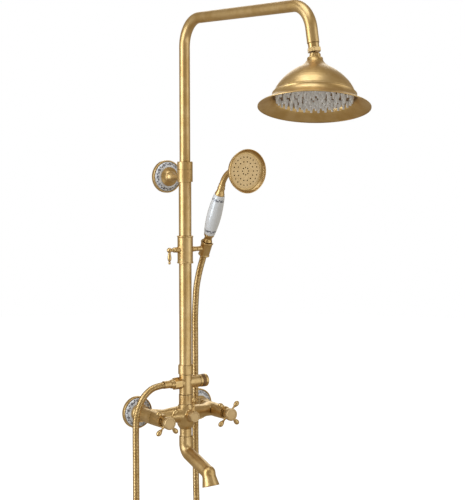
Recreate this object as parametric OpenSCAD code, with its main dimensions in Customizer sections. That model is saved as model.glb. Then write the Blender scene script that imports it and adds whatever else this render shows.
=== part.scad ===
// Rainfall shower column: two-handle bath mixer, riser, overhead rose, hand shower and hose.
// Frame: origin on the wall plane midway between the two inlets, +X right, +Y into the wall, +Z up.

/* [Overall] */
// Distance between the two wall inlets
inlet_spacing = 150; // [130:1:170]
// Distance from the wall to the riser's axis
riser_out = 76; // [72:1:90]
// Height of the upper wall bracket above the inlets
bracket_height = 493; // [430:1:600]
// Height of the overhead arm's axis above the bracket
arm_rise = 321; // [260:1:400]
// Reach of the overhead arm from the riser's axis
arm_reach = 430; // [340:1:520]
// Height of the hand shower's slider above the inlets
slider_height = 345; // [300:1:375]

/* [Tubes] */
// Outer diameter of the lower riser tube
lower_tube_d = 26; // [24:0.5:28]
// Wall of the lower riser tube
lower_tube_wall = 1.5; // [1.2:0.1:2]
// Outer diameter of the upper tube, which telescopes into the lower one
upper_tube_d = 22; // [20:0.5:22]
// Wall of the upper tube
upper_tube_wall = 1.2; // [1:0.1:1.6]
// Centreline radius of the two bends in the upper tube
arm_bend_r = 55; // [45:1:65]
// Lean of the arm's outlet end away from vertical
arm_lean = 12; // [6:1:16]
// Depth of the arm's outlet end below the arm's axis
arm_drop = 69; // [64:1:90]
// Length of the upper tube held inside the lower one
tube_overlap = 200; // [170:5:220]

/* [Rain head] */
// Diameter of the rain head's lip
bell_d = 200; // [180:1:220]
// Height of the rain head from its lip to the ball joint's centre
bell_h = 92; // [86:1:100]
// Wall of the rain head's shell
bell_wall = 1.5; // [1.2:0.1:2]
// Diameter of the ball in the rain head's joint
ball_d = 14; // [13:0.5:14.5]
// Sideways tilt at which the rain head has been set on its ball
head_tilt = 10; // [0:1:12]
// Rings of nozzles in the rain head
nozzle_rings = 5; // [2:1:5]
// Nozzles in the innermost ring
first_ring_nozzles = 8; // [4:1:8]
// Nozzles added with each ring
ring_step_nozzles = 6; // [4:1:6]
// Length of a nozzle below the spray plate
nozzle_l = 11; // [6:1:12]

/* [Wall flanges] */
// Diameter of the brass back dish
flange_d = 68; // [62:1:76]
// Depth of the back dish's rim
flange_rim_h = 8.5; // [7:0.5:10]
// Height to which the ceramic ring domes off the wall
ceramic_h = 13.5; // [12:0.5:15]
// Diameter of the inner dish that closes the ceramic ring
inner_dish_d = 40; // [36:1:44]

/* [Inlets and valves] */
// Thread diameter of the wall unions, which are half-inch pipe thread
stud_d = 20.9; // [18:0.1:21]
// Length of the unions' thread inside the wall
stud_l = 18; // [12:1:24]
// Size across the flats of the union nuts
union_af = 30; // [28:1:32]
// Diameter of the valve barrels
barrel_d = 29; // [27:0.5:30]
// Distance from the wall to the front of the valve barrels
barrel_out = 77; // [74:1:90]
// Length of the valve bonnets
bonnet_l = 34; // [28:1:40]
// Distance from a cross handle's axis to the tips of its spokes
spoke_reach = 34; // [28:1:34]
// Diameter of a cross handle's cap
cap_d = 26; // [22:1:28]
// Diameter of the mixer's bridge at its middle
bridge_d = 34; // [32:1:36]

/* [Tee and spout] */
// Height of the tee's side outlets above the inlets
tee_height = 67; // [65:1:70]
// Diameter of the tee's upright barrel
tee_d = 27; // [25:0.5:28]
// Diameter of the spout's tube
spout_d = 28; // [26:0.5:29]
// Wall of the spout's tube
spout_wall = 3; // [2:0.5:4]
// Lean of the spout's long stretch away from vertical
spout_lean = 72; // [60:1:76]
// Length of the spout's long stretch
spout_run = 68; // [50:1:90]
// Diameter of the spout's mouth
mouth_d = 36; // [32:1:40]

/* [Hand shower] */
// Height of the slider's body
slider_h = 57; // [50:1:64]
// Distance from the riser's axis to the hand shower's cradle
cradle_x = 50; // [48:1:54]
// Lean of the hand shower away from vertical
grip_lean = 25; // [15:1:30]
// Length of the ceramic grip
grip_l = 91; // [80:1:105]
// Diameter of the grip at its thickest
grip_d = 30; // [26:1:32]
// Diameter of the hand shower's rim
rose_d = 88; // [80:1:96]
// Diameter of the hand shower's face plate
face_d = 69; // [62:1:70]
// Centreline radius of the bend in the hand shower's neck
neck_bend_r = 50; // [40:1:60]
// Outer diameter of the hose
hose_d = 14; // [13:0.5:14]

/* [Fits] */
// Radial clearance of a running fit
run_gap = 0.05; // [0.02:0.01:0.1]
// Clearance between assembled pieces that don't turn
seat_gap = 0.1; // [0.05:0.01:0.2]
// Clearance between pieces that move past each other without touching
free_gap = 0.4; // [0.3:0.05:0.5]

/* [Hidden] */
$fn = 64;

brass = [0.74, 0.58, 0.33];
pale_brass = [0.85, 0.7, 0.45];
old_brass = [0.5, 0.36, 0.25];
ceramic = [0.95, 0.95, 0.94];
silicone = [0.9, 0.89, 0.86];
nylon = [0.85, 0.85, 0.82];
dark_rubber = [0.12, 0.12, 0.12];
steel = [0.7, 0.7, 0.7];

// Riser, bracket and arm
lower_r = lower_tube_d / 2;
lower_bore_r = lower_r - lower_tube_wall;
upper_r = upper_tube_d / 2;
upper_bore_r = upper_r - upper_tube_wall;
arm_z = bracket_height + arm_rise;
collar_wall = 3;
collar_r = lower_r + collar_wall;
collar_down = 8.6;
collar_up = 17;
ring_h = 16;
groove = 0.3;
lower_top_z = bracket_height + collar_up + 5;
upper_bottom_z = bracket_height + collar_up - tube_overlap;
clip_h = 1.2;
bush_h = 14;

// Mixer, heights and depths
valve_x = inlet_spacing / 2;
barrel_r = barrel_d / 2;
body_top_z = 22;
body_bottom_z = -29.5;
joint_r = 11;
collar_top_z = 42.3;
tee_r = tee_d / 2;
tee_top_z = tee_height + 17.5;
riser_nut_h = 20;
riser_nut_r = lower_r + 2.5;
tube_bottom_z = tee_top_z + 11.5;
water_r = 8;
bridge_back = 14;
barrel_bore_r = 7;
cartridge_r = 10;
cartridge_neck_r = 9;
valve_seat = barrel_out - 24;
side_outlet = 31;
ring_x = side_outlet + 6;
ring_l = 7.1;
bonnet_front = barrel_out + 1 + bonnet_l;
spindle_r = 4;
hub_l = 17;
spoke_up = 12.8;
cap_back = bonnet_front + 0.5 + hub_l + seat_gap;
cap_h = 9;
diverter_boss_r = 11.5;
diverter_front = riser_out + 25.5;
knob_h = 11.5;
lever_root = 6;
lever_root_r = 1.9;

// Wall flanges, measured out from the wall
nut_back = 20.3;
nut_l = 13.5;
union_collar_r = 12;
union_bore_r = 7;
thread_relief = 1;
washer_out = 24;
washer_h = 2;
dish_wall = 2;
dish_rim = 3;
ceramic_r = flange_d / 2 - dish_rim - seat_gap;
plate_r = 25;
plate_t = 3;
plate_hole_r = 2.25;
plate_hole_spacing = 36;
stem_end = riser_out - collar_r + 1;

// Spout: bends measured along its centreline
spout_r = spout_d / 2;
spout_bore_r = spout_r - spout_wall;
spout_stem_r = 9;
spout_top_z = -46.3;
spout_straight = 15.7;
spout_bend_1 = 22;
spout_bend_2 = 15;
mouth_lean = 20;
mouth_l = 20;

// Rain head, measured along its own axis from the ball's centre
adapter_l = 8;
hex_l = 7;
arm_seal = 1.2;
ball_r = ball_d / 2;
seat_wall = 1.15;
seat_r = ball_r + run_gap + seat_wall;
socket_r = seat_r + run_gap;
ball_nut_r = 10;
ball_nut_up = socket_r - 0.85;
nut_air = 2.6;
stem_r = 3.2;
ball_drop = arm_seal + adapter_l + hex_l + nut_air + ball_nut_up;
arm_end = [0, -(riser_out + arm_reach), arm_z - arm_drop];
ball_at = arm_end - ball_drop * [0, sin(arm_lean), cos(arm_lean)];
plate_z = 20.6;
end_drop = (arm_drop - arm_bend_r * (1 - cos(90 - arm_lean))) / cos(arm_lean);
arm_level = arm_reach - arm_bend_r * (1 + cos(arm_lean)) - end_drop * sin(arm_lean);

// Slider, cradle and hand shower, measured along the grip's own axis
slider_r = lower_r + 3;
bush_r = lower_r + 1.5;
cup_h = 32;
cup_r = 12.6;
nut_low_r = 9.3;
nut_high_r = 10.5;
ferrule_start = cup_h / 2 + free_gap;
ferrule_l = 18;
grip_start = ferrule_start + ferrule_l + seat_gap;
grip_end = grip_start + grip_l;
upper_ferrule_l = 24;
neck_start = grip_end + seat_gap;
bend_start = neck_start + upper_ferrule_l;
neck_r = 6;
neck_straight = 22;
core_r = 5;
core_wall = 1.2;
core_seat = 5;
core_socket = 9;
rose_depth = 25;
face_t = 3;
face_out = 13.2;

// Hose: its route by hand, from the hand shower down, round under the mixer and up to the tee
hose_route = [[50, -70, 333], [50, -64, 320], [49, -58, 305], [48, -52, 287], [46, -47, 262],
    [45, -45, 235], [44, -44, 200], [44, -44, 160], [44, -44, 115], [44, -44, 70], [44, -44, 25],
    [44, -44, -20], [44, -44, -60], [44, -45, -110], [44, -46, -160], [44, -48, -210],
    [44, -50, -260], [44, -52, -310], [44, -54, -350], [43, -56, -385], [37, -58, -422],
    [20, -61, -456], [-7, -64, -478], [-38, -67, -486], [-69, -70, -478], [-96, -72, -456],
    [-113, -74, -422], [-119, -75, -385], [-120, -76, -340], [-120, -76, -285],
    [-120, -76, -230], [-120, -76, -175], [-120, -76, -120], [-120, -76, -70],
    [-120, -76, -25], [-119, -76, 2], [-113, -76, 26], [-101, -76, 47], [-81, -76, 62],
    [-54, -76, 67]];
hose_sides = 10;

// ---- helpers ----

// A tube standing on the origin
module pipe(r, bore, h) {
    difference() {
        cylinder(r = r, h = h);
        translate([0, 0, -1]) cylinder(r = bore, h = h + 2);
    }
}

// Turns +Z to point out from the wall, into the wall, right and left
module outward(p) { translate(p) rotate([90, 0, 0]) children(); }
module inward(p) { translate(p) rotate([-90, 0, 0]) children(); }
module rightward(p) { translate(p) rotate([0, 90, 0]) children(); }
module leftward(p) { translate(p) rotate([0, -90, 0]) children(); }
module on_riser(z) { translate([0, -riser_out, z]) children(); }

// A bend that starts at the origin along +Z and turns through angle a towards -Y
module elbow(bend_r, a, r) {
    translate([0, -bend_r, 0]) rotate([90, 0, 90])
        rotate_extrude(angle = a) translate([bend_r, 0]) circle(r = r);
}
// The place and direction at the end of that bend
module after_elbow(bend_r, a) {
    translate([0, -bend_r, 0]) rotate([a, 0, 0]) translate([0, bend_r, 0]) children();
}
// The hair-thin weld bead that joins a straight stretch to a bend
module bead(r) { translate([0, 0, -0.4]) cylinder(r = r + 0.03, h = 0.8); }

// A hexagonal bar by its size across the flats
module hex(af, h) { cylinder(r = af / sqrt(3), h = h, $fn = 6); }

// Points of a cubic curve
function curve(a, b, c, d, n) = [for (i = [0:n]) let (t = i / n)
    a * pow(1 - t, 3) + 3 * b * t * pow(1 - t, 2) + 3 * c * t * t * (1 - t) + d * pow(t, 3)];

// An outline moved sideways by t, to the right of its direction
function beside(p, t) = [for (i = [0:len(p) - 1])
    let (d = p[min(i + 1, len(p) - 1)] - p[max(i - 1, 0)]) p[i] + t * [d[1], -d[0]] / norm(d)];

function reversed(p) = [for (i = [len(p) - 1:-1:0]) p[i]];

// Everything that hangs from the arm's end: +Z points back up the arm, zero is the tube's end
module at_arm_end() { translate(arm_end) rotate([-arm_lean, 0, 0]) children(); }

// The ball's centre, with +Z up the arm; the rain head is also tilted sideways on it
module at_ball() { translate(ball_at) rotate([-arm_lean, 0, 0]) children(); }
module at_head() {
    translate(ball_at) rotate([0, head_tilt, 0]) rotate([-arm_lean, 0, 0]) children();
}

// The hand shower's axis, with +Z up the grip and zero at the cradle's centre
module on_grip(t = 0) {
    translate([cradle_x, -riser_out, slider_height]) rotate([grip_lean, 0, 0])
        translate([0, 0, t]) children();
}

// ---- wall flanges and inlets ----

module each_inlet() { for (x = [-valve_x, valve_x]) outward([x, 0, 0]) children(); }
module at_bracket() { outward([0, 0, bracket_height]) children(); }

module inlet_unions() {
    color(brass) each_inlet() difference() {
        union() {
            translate([0, 0, -stud_l]) cylinder(r = stud_d / 2, h = stud_l - thread_relief);
            translate([0, 0, -thread_relief - 1])
                cylinder(r = stud_d / 2 - 0.5, h = thread_relief + 1 + washer_out - seat_gap);
            translate([0, 0, nut_back + 1])
                cylinder(r = union_collar_r, h = washer_out - nut_back - 1 - seat_gap);
        }
        translate([0, 0, -stud_l - 1]) cylinder(r = union_bore_r, h = stud_l + washer_out + 2);
    }
}

module pipe_seals() {
    color(dark_rubber) {
        each_inlet() translate([0, 0, washer_out]) pipe(union_collar_r, union_bore_r, washer_h);
        on_riser(tee_top_z + 9.9) pipe(lower_r - 0.5, 9, 1.4);
        leftward([-23.8, -riser_out, tee_height]) pipe(8.8, 4, 1.6);
    }
}

module union_nuts() {
    color(brass) each_inlet() difference() {
        translate([0, 0, nut_back]) intersection() {
            hex(union_af, nut_l);
            cylinder(r1 = union_af / 2 + 1, r2 = union_af / 2 + 1 + nut_l, h = nut_l);
        }
        translate([0, 0, nut_back - 1]) cylinder(r = stud_d / 2 - 0.5 + seat_gap, h = 5);
        translate([0, 0, nut_back + 0.9]) cylinder(r = 12.5 + seat_gap, h = nut_l);
    }
}

// The brass back dish with its rounded rim
module wall_dish(bore) {
    r = flange_d / 2;
    rim = dish_rim / 2;
    rotate_extrude() difference() {
        union() {
            translate([bore, 0]) square([r - bore, dish_wall]);
            translate([r - dish_rim, 0]) square([dish_rim, flange_rim_h - rim]);
            translate([r - rim, flange_rim_h - rim]) circle(r = rim);
        }
        translate([-1, -1]) square([1, 1]);
    }
}

module wall_dishes() {
    color(brass) {
        each_inlet() wall_dish(stud_d / 2 + seat_gap);
        at_bracket() wall_dish(plate_r + seat_gap);
    }
}

// The domed ceramic ring
module ceramic_ring(bore, back) {
    rim_h = flange_rim_h - 1.5;
    dome = curve([ceramic_r, rim_h], [ceramic_r - 0.5, rim_h + 3],
        [inner_dish_d / 2 + 5, ceramic_h], [inner_dish_d / 2 - 1, ceramic_h], 8);
    rotate_extrude() polygon(concat([[bore, back], [ceramic_r, back]], dome, [[bore, ceramic_h]]));
}

module ceramic_rings() {
    color(ceramic) {
        each_inlet() ceramic_ring(stud_d / 2 + 2, dish_wall + seat_gap);
        at_bracket() ceramic_ring(15, plate_t + seat_gap);
    }
}

// The flared dish that closes the ceramic ring and hides the union
module inner_dish(bore, top_r, top) {
    base = ceramic_h + seat_gap;
    r = inner_dish_d / 2;
    flare = curve([r, base + 1], [r - 2.5, base + 2.6], [top_r + 1.5, top - 3], [top_r, top], 8);
    rotate_extrude() polygon(concat([[bore, base], [r - 0.6, base]], flare, [[bore, top]]));
}

module inner_dishes() {
    color(brass) {
        each_inlet() inner_dish(stud_d / 2, 15.4, nut_back - seat_gap);
        at_bracket() inner_dish(7.5, 11, 21);
    }
}

// ---- mixer ----

// One arm of the bridge, from the middle barrel to a valve barrel
module bridge_arm(side) {
    translate([0, -riser_out, 0]) rotate([0, 0, side > 0 ? 0 : 180])
        rotate([0, 0, side * atan(bridge_back / valve_x)]) rotate([0, 90, 0]) children();
}

module mixer_body() {
    arm_l = norm([valve_x, bridge_back]);
    bridge_r = bridge_d / 2;
    foot_h = 6;
    shoulder_h = 8;
    color(brass) difference() {
        union() {
            on_riser(body_bottom_z) cylinder(r1 = bridge_r - 4, r2 = bridge_r, h = foot_h);
            on_riser(body_bottom_z + foot_h)
                cylinder(r = bridge_r, h = body_top_z - body_bottom_z - foot_h - shoulder_h);
            on_riser(body_top_z - shoulder_h) cylinder(r1 = bridge_r, r2 = tee_r + 1, h = shoulder_h);
            on_riser(body_top_z - 1) cylinder(r = joint_r, h = 10.5);
            for (side = [-1, 1]) bridge_arm(side) cylinder(r1 = bridge_r, r2 = 12, h = arm_l);
            each_inlet() {
                translate([0, 0, washer_out + washer_h + seat_gap]) cylinder(r = 12.5, h = 12);
                translate([0, 0, nut_back + nut_l + groove])
                    cylinder(r = barrel_r, h = barrel_out - nut_back - nut_l - groove);
            }
            outward([0, -riser_out, 0]) cylinder(r = diverter_boss_r, h = diverter_front - riser_out);
        }
        on_riser(body_bottom_z - 1) cylinder(r = spout_stem_r + seat_gap, h = 14);
        on_riser(body_bottom_z) cylinder(r = water_r, h = body_top_z - body_bottom_z + 12);
        for (side = [-1, 1]) bridge_arm(side) cylinder(r = barrel_bore_r, h = arm_l);
        each_inlet() {
            translate([0, 0, washer_out]) cylinder(r = barrel_bore_r, h = barrel_out - washer_out + 1);
            translate([0, 0, valve_seat - 1]) cylinder(r = cartridge_r, h = barrel_out - valve_seat + 2);
            translate([0, 0, barrel_out]) cylinder(r = barrel_r + groove, h = bonnet_l);
        }
        outward([0, -riser_out, 0]) cylinder(r = water_r, h = diverter_front - riser_out + 1);
    }
}

// The cartridges of the two valves and of the two diverters
module valve_cartridges() {
    color(brass) {
        each_inlet() difference() {
            union() {
                translate([0, 0, valve_seat])
                    cylinder(r = cartridge_r - seat_gap, h = barrel_out - valve_seat);
                translate([0, 0, barrel_out - 1]) cylinder(r = cartridge_neck_r, h = bonnet_l - 2);
            }
            translate([0, 0, valve_seat - 1]) cylinder(r = spindle_r + run_gap, h = bonnet_l + 30);
        }
        outward([0, -(riser_out - 2), 0])
            pipe(water_r - seat_gap, spindle_r + run_gap, diverter_front - riser_out);
        rightward([8.5, -riser_out, tee_height])
            pipe(cartridge_neck_r - seat_gap, spindle_r + run_gap, side_outlet - 5.5 + groove);
    }
}

module valve_bonnets() {
    end = barrel_out + groove;
    color(brass) {
        each_inlet() difference() {
            union() {
                translate([0, 0, end]) cylinder(r = barrel_r - 1, h = 1);
                translate([0, 0, end + 0.7])
                    cylinder(r1 = barrel_r, r2 = barrel_r - 1, h = bonnet_front - end - 0.7);
            }
            translate([0, 0, end - 1]) cylinder(r = cartridge_neck_r + seat_gap, h = bonnet_front - end - 1);
            translate([0, 0, end]) cylinder(r = spindle_r + free_gap, h = bonnet_l + 2);
        }
        rightward([side_outlet + groove, -riser_out, tee_height]) difference() {
            cylinder(r = 13, h = 5.2);
            translate([0, 0, -1]) cylinder(r = cartridge_neck_r + seat_gap, h = 4);
            cylinder(r = spindle_r + free_gap, h = 6);
        }
    }
}

module valve_spindle(x) {
    back = barrel_out - 18;
    outward([x, -back, 0]) difference() {
        cylinder(r = spindle_r, h = cap_back - back - 1);
        translate([0, 0, cap_back - back - 12]) cylinder(r = 2.1, h = 12);
    }
}
module hot_spindle() { color(brass) valve_spindle(-valve_x); }
module cold_spindle() { color(brass) valve_spindle(valve_x); }

// A spoke's teardrop, lying along +Z with its neck at the hub
module spoke() {
    bulge = spoke_reach - 6.5;
    drop = concat(curve([2, bulge - 10], [2.2, bulge - 7], [5.2, bulge - 5], [5.2, bulge], 6),
        curve([5.2, bulge], [5.2, bulge + 3.4], [3.4, spoke_reach], [0, spoke_reach], 6));
    rotate_extrude() polygon(concat([[0, 6], [2.6, 6], [2.6, 12], [2, 14]], drop));
}

module cross_handle(x) {
    outward([x, -(bonnet_front + 0.5), 0]) difference() {
        union() {
            cylinder(r = 10.8, h = 2.6);
            translate([0, 0, 2]) cylinder(r = 9, h = 4);
            translate([0, 0, 3.4]) cylinder(r = 10, h = 1.2);
            translate([0, 0, 5.4]) cylinder(r1 = 9.4, r2 = 11, h = 3);
            translate([0, 0, 8.4]) cylinder(r = 11, h = hub_l - 8.4);
            for (a = [45:90:315])
                translate([0, 0, spoke_up]) rotate([0, 0, a]) rotate([0, 90, 0]) spoke();
        }
        translate([0, 0, -1]) cylinder(r = spindle_r + run_gap, h = hub_l + 2);
    }
}
module hot_cross_handle() { color(brass) cross_handle(-valve_x); }
module cold_cross_handle() { color(brass) cross_handle(valve_x); }

module handle_cap(x) {
    r = cap_d / 2;
    outward([x, -cap_back, 0]) {
        rotate_extrude() polygon([[0, 0], [r - 1, 0], [r, 1], [r, cap_h - 2], [r - 0.6, cap_h - 0.6],
            [r - 2, cap_h], [r - 3.4, cap_h], [r - 3.6, cap_h - 0.7], [0, cap_h - 0.7]]);
        translate([0, 0, -8]) cylinder(r = 2, h = 8.5);
    }
}
module hot_cap() { color(pale_brass) handle_cap(-valve_x); }
module cold_cap() { color(pale_brass) handle_cap(valve_x); }

module bath_diverter_knob() {
    r = diverter_boss_r;
    out = diverter_front + free_gap;
    color(brass) difference() {
        union() {
            outward([0, -out, 0]) rotate_extrude() polygon([[0, 0], [r - 0.5, 0], [r, 0.5],
                [r, knob_h - 1.2], [r - 1.2, knob_h], [r - 3, knob_h], [r - 3.3, knob_h - 0.6],
                [0, knob_h - 0.6]]);
            inward([0, -out - 1, 0]) cylinder(r = spindle_r, h = 22);
        }
        translate([0, -out - knob_h / 2, r - lever_root]) cylinder(r = lever_root_r + seat_gap, h = r);
    }
}

module bath_diverter_lever() {
    out = diverter_front + free_gap + knob_h / 2;
    base = diverter_boss_r + seat_gap;
    root = diverter_boss_r - lever_root + seat_gap;
    stem = concat([[0, root], [lever_root_r, root], [lever_root_r, base], [3.25, base]],
        curve([3.25, base], [3.1, base + 3], [2.1, base + 6], [2, base + 14], 6),
        [[3, base + 14.8], [3, base + 16], [2.2, base + 16.8]],
        curve([2.2, base + 16.8], [4, base + 18], [4.6, base + 22], [3.9, base + 25.4], 5),
        curve([3.9, base + 25.4], [3.4, base + 28.5], [1.4, base + 29.5], [0, base + 29.5], 4));
    color(brass) translate([0, -out, 0]) rotate_extrude() polygon(stem);
}

// ---- tee, riser nut and lower tube ----

module lower_collar() {
    color(brass) on_riser(body_top_z + groove)
        pipe(tee_r + 0.8, joint_r + seat_gap, collar_top_z - body_top_z - 2 * groove);
}

module tee_body() {
    color(brass) difference() {
        union() {
            on_riser(collar_top_z) cylinder(r = tee_r, h = tee_top_z - collar_top_z);
            on_riser(collar_top_z - 9.5) cylinder(r = joint_r, h = tee_top_z - collar_top_z + 19);
            rightward([0, -riser_out, tee_height]) cylinder(r = 12.5, h = side_outlet);
            leftward([0, -riser_out, tee_height]) cylinder(r = 10.6, h = 13.2);
            leftward([0, -riser_out, tee_height]) cylinder(r = 9, h = 23.6);
        }
        on_riser(collar_top_z - 11) cylinder(r = water_r, h = tee_top_z - collar_top_z + 22);
        rightward([0, -riser_out, tee_height]) cylinder(r = cartridge_neck_r, h = side_outlet + 1);
        leftward([0, -riser_out, tee_height]) cylinder(r = 6, h = 25);
    }
}

module shower_diverter_knob() {
    color(brass) {
        rightward([ring_x + ring_l + seat_gap, -riser_out, tee_height]) rotate_extrude()
            polygon([[0, 0], [13.3, 0], [13.5, 0.4], [13.5, 4.6], [12.6, 6.2], [11, 6.4], [10.6, 5.8],
                [0, 5.8]]);
        rightward([ring_x, -riser_out, tee_height]) cylinder(r = cartridge_neck_r, h = ring_l + 0.5);
        rightward([12, -riser_out, tee_height]) cylinder(r = spindle_r, h = 26);
    }
}

// The finely grooved grip ring, pressed on the knob
module knurled_ring() {
    grooves = 30;
    color(old_brass) rightward([ring_x, -riser_out, tee_height]) difference() {
        pipe(13.4, cartridge_neck_r + run_gap, ring_l);
        for (i = [0:grooves - 1]) rotate([0, 0, i * 360 / grooves]) translate([13.9, 0, -1])
            cylinder(r = 0.8, h = 10);
    }
}

module riser_nut() {
    color(brass) on_riser(tee_top_z + groove) difference() {
        union() {
            cylinder(r = riser_nut_r - 0.8, h = riser_nut_h - groove);
            translate([0, 0, 1]) cylinder(r = riser_nut_r, h = riser_nut_h - 2 - groove);
        }
        translate([0, 0, -1]) cylinder(r = joint_r + seat_gap, h = 11);
        translate([0, 0, 9.5]) cylinder(r = lower_r + seat_gap / 2, h = riser_nut_h);
        translate([-6, -riser_nut_r - 4.6, riser_nut_h - 7]) cube([12, 5, 4.5]);
    }
}

module lower_tube() {
    color(brass) on_riser(tube_bottom_z) pipe(lower_r, lower_bore_r, lower_top_z - tube_bottom_z);
}

// ---- spout ----

module spout_collar() {
    color(brass) on_riser(spout_top_z + groove) difference() {
        union() {
            cylinder(r = 12.5, h = body_bottom_z - spout_top_z - 2 * groove);
            cylinder(r = spout_stem_r + 2.6, h = body_bottom_z - spout_top_z - groove);
        }
        translate([0, 0, -1]) cylinder(r = spout_stem_r + run_gap, h = 30);
    }
}

// The spout's flow path at one radius, with its mouth opened out; it runs downwards
module spout_path(r, mouth_r, over) {
    turn_back = spout_lean - mouth_lean;
    rotate([0, 180, 0]) {
        cylinder(r = r, h = spout_straight);
        translate([0, 0, spout_straight]) {
            elbow(spout_bend_1, spout_lean, r);
            after_elbow(spout_bend_1, spout_lean) {
                bead(r);
                cylinder(r = r, h = spout_run);
                translate([0, 0, spout_run]) mirror([0, 1, 0]) {
                    bead(r);
                    elbow(spout_bend_2, turn_back, r);
                    after_elbow(spout_bend_2, turn_back) {
                        bead(r);
                        cylinder(r1 = r, r2 = mouth_r, h = mouth_l + over);
                    }
                }
            }
        }
    }
}

module spout() {
    color(brass) on_riser(spout_top_z) difference() {
        union() {
            difference() {
                spout_path(spout_r, mouth_d / 2, 0);
                spout_path(spout_bore_r, mouth_d / 2 - spout_wall, 1);
            }
            translate([0, 0, -spout_wall]) cylinder(r = spout_r - 1, h = spout_wall);
            cylinder(r = spout_stem_r, h = 16);
        }
        translate([0, 0, -spout_wall - 1]) cylinder(r = 6.5, h = spout_wall + 18);
        for (z = [4, 9]) translate([0, 0, z]) pipe(spout_stem_r + 1, spout_stem_r - 1.2, 2);
    }
}

module spout_seals() {
    color(dark_rubber) on_riser(spout_top_z)
        for (z = [4.1, 9.1]) translate([0, 0, z]) pipe(spout_stem_r - 0.02, spout_stem_r - 1.15, 1.8);
}

// ---- upper bracket ----

module bracket_plate() {
    color(steel) at_bracket() difference() {
        union() {
            cylinder(r = plate_r, h = plate_t);
            cylinder(r = 8.5, h = 11);
        }
        for (x = [-1, 1]) translate([x * plate_hole_spacing / 2, 0, -1])
            cylinder(r = plate_hole_r, h = plate_t + 2);
        translate([0, 0, plate_t]) cylinder(r = 4, h = 12);
    }
}

module bracket_stem() {
    profile = concat([[0, plate_t + seat_gap], [4 - seat_gap, plate_t + seat_gap], [4 - seat_gap, 11.2],
        [7.2, 11.2], [7.2, 21 + seat_gap], [10.6, 21 + seat_gap]],
        curve([10.6, 22], [10, 27], [7, 29], [6.6, 38], 6),
        [[6.6, stem_end - 6], [8.2, stem_end - 5], [8.2, stem_end - 2.6]],
        [[5, stem_end - 2.6], [5, stem_end + 0.4], [0, stem_end + 0.4]]);
    color(brass) at_bracket() rotate_extrude() polygon(profile);
}

module riser_collar() {
    color(brass) difference() {
        union() {
            on_riser(bracket_height - collar_down)
                cylinder(r = collar_r, h = collar_down + collar_up - groove);
            outward([0, -(stem_end - 2.4), bracket_height]) cylinder(r = 8, h = 8);
        }
        on_riser(bracket_height - collar_down - 1)
            cylinder(r = lower_r + seat_gap / 2, h = collar_down + collar_up + 2);
        outward([0, -(stem_end - 4), bracket_height]) cylinder(r = 5 + seat_gap, h = 5);
    }
}

module lock_ring() {
    bottom = bracket_height + collar_up;
    color(brass) on_riser(bottom) difference() {
        union() {
            cylinder(r = collar_r, h = ring_h - 1);
            cylinder(r = collar_r - 0.8, h = ring_h);
        }
        translate([0, 0, -1]) cylinder(r = lower_r + seat_gap / 2, h = 6.2);
        translate([0, 0, 5]) cylinder(r = lower_r - 0.4, h = 9.1);
        cylinder(r = upper_r + free_gap, h = ring_h + 1);
        inward([0, 0, 9]) cylinder(r = 2 + seat_gap, h = collar_r + 1);
    }
}

module lock_screw() {
    color(steel) on_riser(bracket_height + collar_up + 9) inward([0, lower_r - 0.3, 0]) difference() {
        cylinder(r = 2, h = collar_r - lower_r);
        translate([0, 0, 1.6]) cylinder(r = 1.1, h = 4, $fn = 6);
    }
}

module top_bush() {
    color(nylon) on_riser(bracket_height + collar_up + 5 + seat_gap)
        pipe(lower_r - 0.4 - seat_gap / 2, upper_r + run_gap, 9 - seat_gap);
}

// ---- upper tube and arm ----

module guide_bush() {
    color(nylon) on_riser(upper_bottom_z + clip_h + 2)
        pipe(lower_bore_r - run_gap, upper_r - 0.9 + run_gap, bush_h);
}

module bush_clip() {
    color(steel) on_riser(upper_bottom_z + 0.4) pipe(upper_r, upper_r - 1.2 + seat_gap / 4, clip_h);
}

// The upper tube's path at one radius: riser, arm and outlet end
module arm_path(r, over) {
    spigot = clip_h + 2.4 + bush_h;
    bend_z = arm_z - arm_bend_r;
    on_riser(upper_bottom_z + spigot) cylinder(r = r, h = bend_z - upper_bottom_z - spigot);
    on_riser(bend_z) {
        elbow(arm_bend_r, 90, r);
        after_elbow(arm_bend_r, 90) {
            cylinder(r = r, h = arm_level);
            translate([0, 0, arm_level]) {
                elbow(arm_bend_r, 90 - arm_lean, r);
                after_elbow(arm_bend_r, 90 - arm_lean) {
                    bead(r);
                    cylinder(r = r, h = end_drop + over);
                }
            }
        }
    }
}

module upper_tube() {
    color(brass) difference() {
        union() {
            arm_path(upper_r, 0);
            on_riser(upper_bottom_z) cylinder(r = upper_r - 0.9, h = clip_h + 3 + bush_h);
        }
        arm_path(upper_bore_r, 1);
        on_riser(upper_bottom_z - 1) cylinder(r = upper_bore_r - 0.6, h = clip_h + 5 + bush_h);
        on_riser(upper_bottom_z + 0.3) pipe(upper_r, upper_r - 1.2, clip_h + 0.2);
    }
}

module arm_adapter() {
    color(brass) at_arm_end() difference() {
        union() {
            translate([0, 0, -arm_seal]) cylinder(r = 9.2, h = arm_seal);
            translate([0, 0, -arm_seal - adapter_l]) cylinder(r = 10, h = adapter_l);
            cylinder(r = upper_bore_r - seat_gap, h = 8);
        }
        translate([0, 0, -12]) cylinder(r = 6, h = 24);
    }
}

module ball_connector() {
    hex_top = arm_seal + adapter_l;
    color(brass) at_arm_end() difference() {
        union() {
            translate([0, 0, -hex_top - hex_l]) hex(22, hex_l - seat_gap);
            translate([0, 0, -hex_top - 1]) cylinder(r = 6 - seat_gap, h = 8);
            translate([0, 0, -ball_drop]) cylinder(r = stem_r, h = nut_air + ball_nut_up + 1);
            translate([0, 0, -ball_drop]) sphere(r = ball_r);
        }
        translate([0, 0, -ball_drop - ball_r - 1]) cylinder(r = 1.8, h = ball_drop + ball_r);
        translate([0, 0, -hex_top]) cylinder(r = 4, h = 8);
    }
}

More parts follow.
